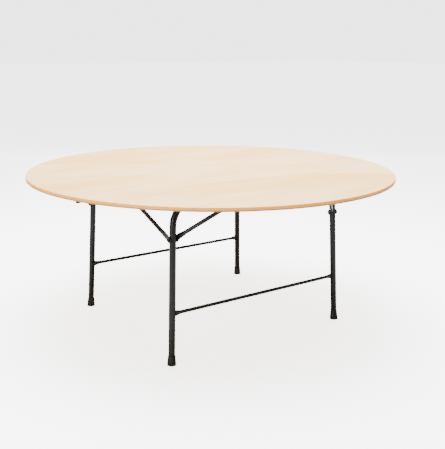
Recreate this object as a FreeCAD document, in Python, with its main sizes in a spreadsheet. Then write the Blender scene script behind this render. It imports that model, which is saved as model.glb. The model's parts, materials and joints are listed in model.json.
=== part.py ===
"""Round folding table: a plywood top on two tubular steel leg frames.

Each leg frame is one bent tube, a U whose top bar turns in saddles under the top. Two stays
are bolted to each leg, one on either side. Their flat upper ends are held by spring clips
under the top; freed from the clips they swing against the leg while the frame folds inwards.

Frame: +Z up, +X along the top bars, origin on the floor under the middle of the top.
Lengths are millimetres, angles are degrees.
"""

import FreeCAD, Part
import math
import os

import Sketcher
from FreeCAD import Placement, Rotation, Vector

doc = FreeCAD.newDocument("folding_table")

# ---------------------------------------------------------------- driving dimensions

DIMENSIONS = [
    ("table_height", 762, "floor to the upper face of the top"),
    ("top_diameter", 1830, "outer diameter of the top"),
    ("top_thickness", 18, "plywood thickness"),
    ("edge_round", 2, "rounding of the top's two rims"),
    ("leg_tube", 30, "outer diameter of the leg tube"),
    ("leg_wall", 1.5, "wall of the leg tube"),
    ("bend_radius", 110, "centreline radius of the leg tube's bends"),
    ("leg_spacing", 940, "between the legs' axes, measured at the top bar"),
    ("frame_spacing", 866, "between the axes of the two top bars"),
    ("front_shift", -43, "sideways offset of the front frame"),
    ("rear_shift", 31, "sideways offset of the rear frame"),
    ("side_splay", 2.37, "outward angle of each leg in its frame's plane"),
    ("lean", 1.84, "outward angle of each frame's plane"),
    ("bar_gap", 0.5, "between the top bar and the underside"),
    ("foot_sole", 8, "rubber under the end of the tube"),
    ("foot_length", 44, "height of a rubber foot"),
    ("foot_wall", 1.75, "rubber round the tube at a foot's mouth"),
    ("foot_flare", 5.5, "rubber round the tube just above the floor"),
    ("foot_round", 3.5, "rounding at a foot's base"),
    ("foot_lip", 1.5, "rounding at a foot's mouth"),
    ("crossbar_tube", 16, "outer diameter of the crossbar"),
    ("crossbar_drop", 494, "top bar axis down to the crossbar axis"),
    ("crossbar_wall", 1.5, "wall of the crossbar"),
    ("crossbar_flare", 27, "height of the crossbar's flattened end"),
    ("crossbar_flare_length", 34, "length over which the end is flattened"),
    ("crossbar_flat", 6, "thickness of the crossbar's flattened end"),
    ("stay_tube", 18, "outer diameter of a stay"),
    ("stay_wall", 1.5, "wall of a stay"),
    ("stay_drop", 162.5, "top bar axis down to the stays' bolt"),
    ("paddle_width", 27, "width of a stay's flat ends"),
    ("paddle_thickness", 3.5, "thickness of a stay's flat ends"),
    ("paddle_reach", 18, "hole centre to where the flat end stops"),
    ("crimp_length", 44, "length over which the tube is flattened"),
    ("tip_depth", 17, "underside of the top down to a stay's upper hole"),
    ("inner_run", 230, "inward run of the stay that braces towards the middle"),
    ("inner_spread", 70, "outward sideways run of that stay"),
    ("outer_run", 158, "outward run of the stay that braces towards the rim"),
    ("outer_spread", 180, "sideways run of that stay towards the frame's middle"),
    ("bolt_size", 8, "shank diameter of a stay bolt"),
    ("bolt_fit", 0.05, "radial clearance of a stay on its bolt"),
    ("bolt_head", 17, "diameter of a stay bolt's domed head"),
    ("bolt_head_height", 4.5, "height of a stay bolt's domed head"),
    ("nut_flats", 13, "across the flats of a stay nut"),
    ("nut_height", 6.5, "height of a stay nut"),
    ("bolt_tail", 2, "length of a stay bolt past its nut"),
    ("washer_size", 17, "outer diameter of a washer"),
    ("washer_thickness", 1.6, "thickness of a washer"),
    ("washer_seat", 0.4, "room for the leg's slope under a washer"),
    ("side_play", 0.3, "free gap between a stay's flat end and its neighbours"),
    ("saddle_spacing", 290, "between neighbouring saddles on a top bar"),
    ("saddle_width", 30, "width of a saddle along the bar"),
    ("saddle_sheet", 3, "sheet thickness of a saddle"),
    ("saddle_fit", 0.05, "radial clearance of the bar in a saddle"),
    ("saddle_flange", 24, "length of a saddle's screw flange"),
    ("saddle_screw_reach", 13.2, "strap to a saddle's screws, across the bar"),
    ("saddle_screw_pitch", 15, "between a saddle's screws, along the bar"),
    ("clip_sheet", 1.5, "sheet thickness of a spring clip"),
    ("clip_play", 0.35, "gap between a stay's flat end and a clip's cheek"),
    ("clip_cheek", 16, "width of a clip's cheek"),
    ("clip_depth", 19, "underside down to the cheek's lower edge"),
    ("clip_length", 62, "length of a clip's base plate"),
    ("clip_width", 20, "width of a clip's base plate"),
    ("clip_screw_pitch", 46, "between a clip's two screws"),
    ("screw_size", 4.5, "diameter of a wood screw"),
    ("screw_hole_play", 0.25, "radial play of a screw in sheet metal"),
    ("screw_head", 9, "diameter of a wood screw's head"),
    ("screw_head_height", 2.8, "height of a wood screw's head"),
    ("screw_bite", 12, "depth of a screw in the plywood"),
    ("bumper_size", 24, "diameter of a rubber bumper"),
    ("bumper_tip", 20, "diameter of a bumper at its lower end"),
    ("bumper_round", 2, "rounding of a bumper's lower end"),
    ("bumper_height", 16, "height of a rubber bumper"),
    ("bumper_inset", 37.5, "rim of the top to a bumper's centre"),
    ("bumper_angle", 14.4, "bumper's direction from the middle, off the X axis"),
    ("bumper_recess", 8, "depth of the screw recess in a bumper"),
    ("recess_play", 1, "room round the screw's head in that recess"),
]

sheet = doc.addObject("Spreadsheet::Sheet", "Sizes")
for row, (alias, number, meaning) in enumerate(DIMENSIONS, start=1):
    sheet.set(f"A{row}", meaning)
    sheet.set(f"B{row}", str(number))
    sheet.setAlias(f"B{row}", alias)
doc.recompute()

# Sizes that follow from the sheet, as expressions that any object can be bound to.
UNDERSIDE = "(Sizes.table_height - Sizes.top_thickness)"
HINGE_Z = f"({UNDERSIDE} - Sizes.bar_gap - Sizes.leg_tube / 2)"
HINGE_Y = "(Sizes.frame_spacing / 2)"
CORNER_TANGENT = "(Sizes.bend_radius * tan(45 - Sizes.side_splay / 2))"
FLOOR_REACH = f"({HINGE_Z} / cos(Sizes.lean) / cos(Sizes.side_splay))"
JOINT_X = "(Sizes.leg_spacing / 2 + Sizes.stay_drop * tan(Sizes.side_splay))"
JOINT_Y = f"({HINGE_Y} + Sizes.stay_drop * tan(Sizes.lean))"
JOINT_Z = f"({HINGE_Z} - Sizes.stay_drop)"
JOINT_ALONG = "(Sizes.stay_drop / cos(Sizes.lean))"
WASHER_INNER = "(Sizes.leg_tube / 2 + Sizes.washer_seat)"
PADDLE_INNER = f"({WASHER_INNER} + Sizes.washer_thickness + Sizes.side_play)"
PADDLE_OFFSET = f"({PADDLE_INNER} + Sizes.paddle_thickness / 2)"
BOLT_SEAT = f"({PADDLE_INNER} + Sizes.paddle_thickness + Sizes.side_play)"
SADDLE_SCREW_Y = (
    "(Sizes.leg_tube / 2 + Sizes.saddle_fit + Sizes.saddle_sheet + Sizes.saddle_screw_reach)"
)
FOOT_MOUTH = "(Sizes.leg_tube / 2 + Sizes.foot_wall)"
FOOT_BASE = "(Sizes.leg_tube / 2 + Sizes.foot_flare)"
COPE_REACH = "(2 * Sizes.crossbar_flare)"
BUMPER_RADIUS = "(Sizes.top_diameter / 2 - Sizes.bumper_inset)"
TIP_RISE = "(Sizes.bar_gap + Sizes.leg_tube / 2 + Sizes.stay_drop - Sizes.tip_depth)"


def size(expression):
    """The value of an expression of the sheet's sizes."""
    answer = sheet.evalExpression(expression)
    return float(getattr(answer, "Value", answer))


def bind(item, **expressions):
    """Ties an object's properties to expressions of the sheet's sizes."""
    for name, expression in expressions.items():
        item.setExpression(name, expression)
    return item


def place(item, base=("0", "0", "0"), rotation=None):
    """Puts an object at a bound position, turned by a fixed rotation."""
    item.Placement = Placement(Vector(*(size(part) for part in base)), rotation or Rotation())
    for axis, expression in zip("xyz", base):
        item.setExpression(f".Placement.Base.{axis}", expression)
    return item


# ---------------------------------------------------------------- sketch helpers


def new_body(label):
    body = doc.addObject("PartDesign::Body", label)
    body.Label = label
    return body


def new_sketch(body, name, plane):
    sketch = body.newObject("Sketcher::SketchObject", name)
    origin_plane = next(f for f in body.Origin.OriginFeatures if f.Role == plane)
    sketch.AttachmentSupport = [(origin_plane, "")]
    sketch.MapMode = "FlatFace"
    return sketch


def fix_point(sketch, edge, end, x, y):
    """Holds one end of an edge at bound coordinates."""
    for axis, value, line in (("DistanceX", x, -2), ("DistanceY", y, -1)):
        if value == "0":
            sketch.addConstraint(Sketcher.Constraint("PointOnObject", edge, end, line))
        else:
            index = sketch.addConstraint(Sketcher.Constraint(axis, -1, 1, edge, end, size(value)))
            sketch.setExpression(f"Constraints[{index}]", value)


def draw_outline(sketch, points, closed=True):
    """Draws bound corners in turn. A corner is (x, y) after a straight edge, or
    (x, y, radius, bulge) after an arc, whose bulge is 1 where it turns left and -1 where it
    turns right. A radius of "half" is a half circle."""
    count = len(points)
    edges = []
    for number in range(count if closed else count - 1):
        start = Vector(size(points[number][0]), size(points[number][1]), 0)
        target = points[(number + 1) % count]
        stop = Vector(size(target[0]), size(target[1]), 0)
        if len(target) == 2:
            edges.append((sketch.addGeometry(Part.LineSegment(start, stop)), 1, 2))
            continue
        chord = stop - start
        radius = chord.Length / 2 if target[2] == "half" else size(target[2])
        bulge = target[3]
        height = math.sqrt(max(radius**2 - (chord.Length / 2) ** 2, 0.0))
        side = Vector(-chord.y, chord.x, 0).normalize() * bulge
        centre = (start + stop) * 0.5 + side * height
        first, last = (start, stop) if bulge > 0 else (stop, start)
        turn_from = math.atan2(first.y - centre.y, first.x - centre.x)
        turn_to = math.atan2(last.y - centre.y, last.x - centre.x)
        circle = Part.Circle(centre, Vector(0, 0, 1), radius)
        edge = sketch.addGeometry(Part.ArcOfCircle(circle, turn_from, turn_to))
        edges.append((edge, 1, 2) if bulge > 0 else (edge, 2, 1))
    for number, (edge, head, _) in enumerate(edges):
        before, _, tail = edges[number - 1]
        if number or closed:
            sketch.addConstraint(Sketcher.Constraint("Coincident", before, tail, edge, head))
        fix_point(sketch, edge, head, *points[number][:2])
    if not closed:
        edge, _, tail = edges[-1]
        fix_point(sketch, edge, tail, *points[-1][:2])
    for number, (edge, _, _) in enumerate(edges):
        target = points[(number + 1) % count]
        if len(target) > 2 and target[2] == "half":
            sketch.addConstraint(Sketcher.Constraint("Symmetric", edge, 1, edge, 2, edge, 3))
        elif len(target) > 2:
            index = sketch.addConstraint(Sketcher.Constraint("Radius", edge, size(target[2])))
            sketch.setExpression(f"Constraints[{index}]", target[2])
    return sketch


def draw_circle(sketch, x, y, radius):
    circle = Part.Circle(Vector(size(x), size(y), 0), Vector(0, 0, 1), size(radius))
    edge = sketch.addGeometry(circle)
    fix_point(sketch, edge, 3, x, y)
    index = sketch.addConstraint(Sketcher.Constraint("Radius", edge, size(radius)))
    sketch.setExpression(f"Constraints[{index}]", radius)
    return sketch


def extrude(body, kind, sketch, length, both_ways=False, reverse=False):
    """A Pad or a Pocket of a bound length."""
    feature = body.newObject(f"PartDesign::{kind}", f"{kind}_{sketch.Name}")
    feature.Profile = sketch
    feature.Midplane = both_ways
    feature.Reversed = reverse
    bind(feature, Length=length)
    sketch.Visibility = False
    return feature


def revolve(body, sketch, axis="V_Axis"):
    feature = body.newObject("PartDesign::Revolution", f"Turn_{sketch.Name}")
    feature.Profile = sketch
    feature.ReferenceAxis = (sketch, [axis])
    feature.Angle = 360
    return feature


def primitive(kind, name, rotation=None, base=("0", "0", "0"), **expressions):
    item = doc.addObject(f"Part::{kind}", name)
    bind(item, **expressions)
    return place(item, base, rotation)


def fuse(name, pieces):
    item = doc.addObject("Part::MultiFuse", name)
    item.Shapes = pieces
    return item


def cut(name, base, tool):
    item = doc.addObject("Part::Cut", name)
    item.Base = base
    item.Tool = tool
    return item


def loft(name, sections):
    item = doc.addObject("Part::Loft", name)
    item.Sections = sections
    item.Solid = True
    item.Ruled = True
    return item


def group(label, pieces):
    """Identical fasteners as one node of separate solids."""
    item = doc.addObject("Part::Compound", label)
    item.Label = label
    item.Links = pieces
    return item


parts = []


def keep(item, label):
    item.Label = label
    parts.append(item)
    return item


# ---------------------------------------------------------------- where things are

ALONG_X = Rotation(Vector(0, 1, 0), 90)
FRAMES = [("front", -1, "Sizes.front_shift"), ("rear", 1, "Sizes.rear_shift")]
SIDES = [("left", -1), ("right", 1)]
STAYS = [
    ("inner", "Sizes.inner_run", "Sizes.inner_spread", 1),
    ("outer", "-Sizes.outer_run", "Sizes.outer_spread", -1),
]


def saddle_places():
    """(name, x, y) of each saddle."""
    for frame, depth, shift in FRAMES:
        for name, step in (("left", -1), ("middle", 0), ("right", 1)):
            x = f"({shift} + {step} * Sizes.saddle_spacing)"
            yield f"{frame}_{name}", x, f"({depth} * {HINGE_Y})"


def stay_places():
    """(name, frame, x sign, y sign, lower x, tip x, tip y, inward run, sideways run)."""
    for frame, depth, shift in FRAMES:
        for side, hand in SIDES:
            for kind, run, spread, outward in STAYS:
                joint = f"({shift} + {hand} * {JOINT_X})"
                lower = f"({joint} + {hand * outward} * {PADDLE_OFFSET})"
                tip_x = f"({joint} + {hand * outward} * {spread})"
                tip_y = f"({depth} * ({JOINT_Y} - ({run})))"
                name = f"{kind}_{frame}_{side}"
                yield name, hand * outward, depth, lower, tip_x, tip_y, run, spread


def screw_places():
    """(group, x, y, level under the top) of each wood screw."""
    for _, x, y in saddle_places():
        for along in (-1, 1):
            for across in (-1, 1):
                column = f"({x} + {along} * Sizes.saddle_screw_pitch / 2)"
                yield "saddle", column, f"({y} + {across} * {SADDLE_SCREW_Y})", "Sizes.saddle_sheet"
    for _, _, _, _, x, y, _, _ in stay_places():
        for across in (-1, 1):
            line = f"({y} + {across} * Sizes.clip_screw_pitch / 2)"
            yield "clip", x, line, "Sizes.clip_sheet"
    for x, y in bumper_places():
        yield "bumper", x, y, "(Sizes.bumper_height - Sizes.bumper_recess)"


def bumper_places():
    for across in (-1, 1):
        for along in (-1, 1):
            x = f"({along} * {BUMPER_RADIUS} * cos(Sizes.bumper_angle))"
            yield x, f"({across} * {BUMPER_RADIUS} * sin(Sizes.bumper_angle))"


# ---------------------------------------------------------------- top


def make_tabletop():
    body = new_body("tabletop")
    disc = draw_circle(new_sketch(body, "disc", "XY_Plane"), "0", "0", "Sizes.top_diameter / 2")
    extrude(body, "Pad", disc, "Sizes.top_thickness")
    pilots = new_sketch(body, "pilot_holes", "XY_Plane")
    for _, x, y, _ in screw_places():
        draw_circle(pilots, x, y, "Sizes.screw_size / 2")
    drilled = extrude(body, "Pocket", pilots, "Sizes.screw_bite", reverse=True)
    place(body, ("0", "0", UNDERSIDE))
    doc.recompute()
    rims = [
        f"Edge{number}"
        for number, edge in enumerate(drilled.Shape.Edges, start=1)
        if isinstance(edge.Curve, Part.Circle) and edge.Curve.Radius > size("Sizes.top_diameter / 4")
    ]
    rounding = body.newObject("PartDesign::Fillet", "rim_rounding")
    rounding.Base = (drilled, rims)
    bind(rounding, Radius="Sizes.edge_round")
    keep(body, "tabletop")


def make_bumpers():
    for number, (x, y) in enumerate(bumper_places(), start=1):
        body = new_body(f"bumper_{number}")
        profile = new_sketch(body, f"bumper_profile_{number}", "XZ_Plane")
        shank = "(Sizes.screw_size / 2 + Sizes.screw_hole_play)"
        recess = "(Sizes.screw_head / 2 + Sizes.recess_play)"
        low = "(-Sizes.bumper_height)"
        floor = "(Sizes.bumper_recess - Sizes.bumper_height)"
        draw_outline(
            profile,
            [
                (shank, "0"),
                (shank, floor),
                (recess, floor),
                (recess, low),
                ("(Sizes.bumper_tip / 2 - Sizes.bumper_round)", low),
                (
                    "(Sizes.bumper_tip / 2)",
                    f"({low} + Sizes.bumper_round)",
                    "Sizes.bumper_round",
                    1,
                ),
                ("Sizes.bumper_size / 2", "0"),
            ],
        )
        revolve(body, profile)
        place(body, (x, y, UNDERSIDE))
        keep(body, f"bumper_{number}")


# ---------------------------------------------------------------- saddles and clips


def make_saddle(name, x, y):
    body = new_body(f"saddle_{name}")
    inner = "(Sizes.leg_tube / 2 + Sizes.saddle_fit)"
    outer = f"({inner} + Sizes.saddle_sheet)"
    flange = f"({outer} + Sizes.saddle_flange)"
    top = "(Sizes.leg_tube / 2 + Sizes.bar_gap)"
    under = f"({top} - Sizes.saddle_sheet)"
    strap = new_sketch(body, f"strap_{name}", "YZ_Plane")
    draw_outline(
        strap,
        [
            (inner, "0", "half", 1),
            (inner, top),
            (flange, top),
            (flange, under),
            (outer, under),
            (outer, "0"),
            (f"(-{outer})", "0", "half", -1),
            (f"(-{outer})", under),
            (f"(-{flange})", under),
            (f"(-{flange})", top),
            (f"(-{inner})", top),
            (f"(-{inner})", "0"),
        ],
    )
    extrude(body, "Pad", strap, "Sizes.saddle_width", both_ways=True)
    holes = new_sketch(body, f"flange_holes_{name}", "XY_Plane")
    for along in (-1, 1):
        for across in (-1, 1):
            column = f"({along} * Sizes.saddle_screw_pitch / 2)"
            line = f"({across} * {SADDLE_SCREW_Y})"
            draw_circle(holes, column, line, "(Sizes.screw_size / 2 + Sizes.screw_hole_play)")
    extrude(body, "Pocket", holes, "Sizes.leg_tube", reverse=True)
    place(body, (x, y, HINGE_Z))
    keep(body, f"saddle_{name}")


def make_clip(name, x, y):
    plate = primitive(
        "Box",
        f"clip_plate_{name}",
        base=("-Sizes.clip_width / 2", "-Sizes.clip_length / 2", "-Sizes.clip_sheet"),
        Length="Sizes.clip_width",
        Width="Sizes.clip_length",
        Height="Sizes.clip_sheet",
    )
    cheeks = []
    for side in (-1, 1):
        inner = "(Sizes.paddle_thickness / 2 + Sizes.clip_play)"
        start = inner if side > 0 else f"(-{inner} - Sizes.clip_sheet)"
        cheek = primitive(
            "Box",
            f"clip_cheek_{name}",
            base=(start, "-Sizes.clip_cheek / 2", "-Sizes.clip_depth"),
            Length="Sizes.clip_sheet",
            Width="Sizes.clip_cheek",
            Height="Sizes.clip_depth",
        )
        cheeks.append(cheek)
    holes = [
        primitive(
            "Cylinder",
            f"clip_hole_{name}",
            base=("0", f"{across} * Sizes.clip_screw_pitch / 2", "-Sizes.clip_depth"),
            Radius="(Sizes.screw_size / 2 + Sizes.screw_hole_play)",
            Height="2 * Sizes.clip_depth",
        )
        for across in (-1, 1)
    ]
    folded = fuse(f"clip_folded_{name}", [plate, *cheeks])
    clip = cut(f"clip_{name}", folded, fuse(f"clip_holes_{name}", holes))
    place(clip, (x, y, UNDERSIDE))
    keep(clip, f"clip_{name}")


def make_screws(kind):
    """All wood screws of one length, their heads against the sheet or the bumper's recess."""
    level = next(below for owner, _, _, below in screw_places() if owner == kind)
    master = new_body(f"{kind}_screw_pattern")
    shank = f"({level} + Sizes.screw_bite)"
    radius = "Sizes.screw_size / 2"
    dome = "((Sizes.screw_head / 2)^2 + Sizes.screw_head_height^2) / (2 * Sizes.screw_head_height)"
    profile = new_sketch(master, f"{kind}_screw_profile", "XZ_Plane")
    draw_outline(
        profile,
        [
            ("0", "(-Sizes.screw_head_height)"),
            ("Sizes.screw_head / 2", "0", f"({dome})", 1),
            (radius, "0"),
            (radius, f"({shank} - Sizes.screw_size)"),
            ("0", shank),
        ],
    )
    revolve(master, profile)
    copies = []
    for owner, x, y, below in screw_places():
        if owner == kind:
            copy = doc.addObject("App::Link", f"{kind}_screw")
            copy.LinkedObject = master
            copies.append(place(copy, (x, y, f"({UNDERSIDE} - {below})")))
    keep(group(f"{kind}_screws", copies), f"{kind}_screws")


# ---------------------------------------------------------------- leg frames


def make_leg_frame(frame, depth, shift):
    """The U-shaped tube, in its own plane with the top bar's axis at its origin."""
    body = new_body(f"leg_frame_{frame}")
    half = "Sizes.leg_spacing / 2"
    path = new_sketch(body, f"leg_path_{frame}", "XZ_Plane")
    draw_outline(
        path,
        [
            ("0", "0"),
            (f"({half} - {CORNER_TANGENT})", "0"),
            (
                f"({half} + {CORNER_TANGENT} * sin(Sizes.side_splay))",
                f"(-{CORNER_TANGENT} * cos(Sizes.side_splay))",
                "Sizes.bend_radius",
                -1,
            ),
            (
                f"({half} + ({FLOOR_REACH} - Sizes.foot_sole) * sin(Sizes.side_splay))",
                f"(-({FLOOR_REACH} - Sizes.foot_sole) * cos(Sizes.side_splay))",
            ),
        ],
        closed=False,
    )
    ring = new_sketch(body, f"leg_section_{frame}", "YZ_Plane")
    draw_circle(ring, "0", "0", "Sizes.leg_tube / 2")
    draw_circle(ring, "0", "0", "(Sizes.leg_tube / 2 - Sizes.leg_wall)")
    tube = body.newObject("PartDesign::AdditivePipe", f"leg_tube_{frame}")
    tube.Profile = ring
    tube.Spine = (path, ["Edge1", "Edge2", "Edge3"])
    doc.recompute()
    both = body.newObject("PartDesign::Mirrored", f"both_legs_{frame}")
    both.Originals = [tube]
    mirror = next(f for f in body.Origin.OriginFeatures if f.Role == "YZ_Plane")
    both.MirrorPlane = (mirror, [""])
    body.Tip = both
    doc.recompute()
    hole = new_sketch(body, f"bolt_hole_{frame}", "YZ_Plane")
    draw_circle(hole, "0", f"(-{JOINT_ALONG})", "(Sizes.bolt_size / 2 + Sizes.bolt_fit)")
    extrude(body, "Pocket", hole, "2 * Sizes.leg_spacing", both_ways=True)
    place(body, (shift, f"{depth} * {HINGE_Y}", HINGE_Z), lean_of(depth))
    keep(body, f"leg_frame_{frame}")


def lean_of(depth):
    return Rotation(Vector(1, 0, 0), depth * size("Sizes.lean"))


def make_crossbar(frame, depth, shift):
    """A round bar with flattened ends, coped to the legs it is welded to."""
    level = "(-Sizes.crossbar_drop / cos(Sizes.lean))"
    axis = "(Sizes.leg_spacing / 2 + Sizes.crossbar_drop / cos(Sizes.lean) * tan(Sizes.side_splay))"
    plain = f"({axis} - Sizes.leg_tube / 2 - Sizes.crossbar_flare_length)"
    radius = "Sizes.crossbar_tube / 2"
    bar = primitive(
        "Cylinder",
        f"crossbar_tube_{frame}",
        ALONG_X,
        (f"(-{plain})", "0", level),
        Radius=radius,
        Height=f"2 * {plain}",
    )
    bore = primitive(
        "Cylinder",
        f"crossbar_bore_{frame}",
        ALONG_X,
        (f"(-{plain})", "0", level),
        Radius=f"({radius} - Sizes.crossbar_wall)",
        Height=f"2 * {plain}",
    )
    flares = []
    legs = [bore]
    for side, hand in SIDES:
        name = f"{frame}_{side}"
        round_end = primitive(
            "Circle", f"flare_start_{name}", ALONG_X, (f"{hand} * {plain}", "0", level), Radius=radius
        )
        flat_end = primitive(
            "Ellipse",
            f"flare_end_{name}",
            ALONG_X,
            (f"{hand} * ({axis} - Sizes.crossbar_flat)", "0", level),
            MajorRadius="Sizes.crossbar_flare / 2",
            MinorRadius="Sizes.crossbar_flat / 2",
        )
        flares.append(loft(f"flare_{name}", [round_end, flat_end]))
        leg = primitive(
            "Cylinder",
            f"cope_{name}",
            Rotation(Vector(0, 1, 0), -hand * size("Sizes.side_splay")),
            (
                f"{hand} * ({axis} + {COPE_REACH} * tan(Sizes.side_splay))",
                "0",
                f"{level} - {COPE_REACH}",
            ),
            Radius="Sizes.leg_tube / 2",
            Height=f"2 * {COPE_REACH}",
        )
        legs.append(leg)
    whole = fuse(f"crossbar_whole_{frame}", [bar, *flares])
    crossbar = cut(f"crossbar_{frame}", whole, fuse(f"crossbar_cuts_{frame}", legs))
    place(crossbar, (shift, f"{depth} * {HINGE_Y}", HINGE_Z), lean_of(depth))
    keep(crossbar, f"crossbar_{frame}")


def make_foot(name, depth, hand, shift):
    """A rubber ferrule on the end of a leg, flat where it stands on the floor."""
    body = new_body(f"foot_turned_{name}")
    low = f"(-{FOOT_BASE} * tan(Sizes.lean + Sizes.side_splay))"
    lip = "Sizes.foot_lip"
    profile = new_sketch(body, f"foot_profile_{name}", "XZ_Plane")
    draw_outline(
        profile,
        [
            ("0", low),
            (f"({FOOT_BASE} - Sizes.foot_round)", low),
            (FOOT_BASE, f"({low} + Sizes.foot_round)", "Sizes.foot_round", 1),
            (FOOT_MOUTH, f"(Sizes.foot_length - {lip})"),
            (f"({FOOT_MOUTH} - {lip})", "Sizes.foot_length", lip, 1),
            ("Sizes.leg_tube / 2", "Sizes.foot_length"),
            ("Sizes.leg_tube / 2", "Sizes.foot_sole"),
            ("0", "Sizes.foot_sole"),
        ],
    )
    revolve(body, profile)
    side = f"(Sizes.leg_spacing / 2 + {HINGE_Z} / cos(Sizes.lean) * tan(Sizes.side_splay))"
    reach = f"({HINGE_Y} + {HINGE_Z} * tan(Sizes.lean))"
    upright = Rotation(Vector(0, 1, 0), -hand * size("Sizes.side_splay"))
    tilt = lean_of(depth).multiply(upright)
    place(body, (f"{shift} + {hand} * {side}", f"{depth} * {reach}", "0"), tilt)
    floor = primitive(
        "Box",
        f"floor_{name}",
        base=(
            f"{shift} + {hand} * {side} - 2 * {FOOT_BASE}",
            f"{depth} * {reach} - 2 * {FOOT_BASE}",
            f"-2 * {FOOT_BASE}",
        ),
        Length=f"4 * {FOOT_BASE}",
        Width=f"4 * {FOOT_BASE}",
        Height=f"2 * {FOOT_BASE}",
    )
    keep(cut(f"foot_{name}", body, floor), f"foot_{name}")


def make_joint_hardware(frame, depth, shift):
    """The bolt, nut and washers that carry the two stays of each leg."""
    bolts = []
    nuts = []
    washers = []
    head = "Sizes.bolt_head / 2"
    dome = f"((({head})^2 + Sizes.bolt_head_height^2) / (2 * Sizes.bolt_head_height))"
    tail = f"(-2 * {BOLT_SEAT} - Sizes.nut_height - Sizes.bolt_tail)"
    for side, hand in SIDES:
        name = f"{frame}_{side}"
        inward = Rotation(Vector(0, 1, 0), -hand * 90)
        joint = f"({shift} + {hand} * {JOINT_X})"
        y = f"{depth} * {JOINT_Y}"
        bolt = new_body(f"bolt_{name}")
        profile = new_sketch(bolt, f"bolt_profile_{name}", "XZ_Plane")
        draw_outline(
            profile,
            [
                ("0", tail),
                ("Sizes.bolt_size / 2", tail),
                ("Sizes.bolt_size / 2", "0"),
                (head, "0"),
                ("0", "Sizes.bolt_head_height", dome, 1),
            ],
        )
        revolve(bolt, profile)
        place(bolt, (f"{joint} - {hand} * {BOLT_SEAT}", y, JOINT_Z), inward)
        bolts.append(bolt)
        hexagon = primitive(
            "Prism",
            f"nut_hexagon_{name}",
            Circumradius="Sizes.nut_flats / sqrt(3)",
            Height="Sizes.nut_height",
        )
        bore = primitive(
            "Cylinder", f"nut_bore_{name}", Radius="Sizes.bolt_size / 2", Height="Sizes.nut_height"
        )
        nut = cut(f"nut_{name}", hexagon, bore)
        outward = Rotation(Vector(0, 1, 0), hand * 90)
        nuts.append(place(nut, (f"{joint} + {hand} * {BOLT_SEAT}", y, JOINT_Z), outward))
        for face in (-1, 1):
            disc = primitive(
                "Cylinder",
                f"washer_disc_{name}",
                Radius="Sizes.washer_size / 2",
                Height="Sizes.washer_thickness",
            )
            eye = primitive(
                "Cylinder",
                f"washer_eye_{name}",
                Radius="(Sizes.bolt_size / 2 + Sizes.bolt_fit)",
                Height="Sizes.washer_thickness",
            )
            washer = cut(f"washer_{name}", disc, eye)
            turned = Rotation(Vector(0, 1, 0), face * 90)
            washers.append(place(washer, (f"{joint} + {face} * {WASHER_INNER}", y, JOINT_Z), turned))
    for word, pieces in (("bolts", bolts), ("nuts", nuts), ("washers", washers)):
        keep(group(f"stay_{word}_{frame}", pieces), f"stay_{word}_{frame}")


# ---------------------------------------------------------------- stays


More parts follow.
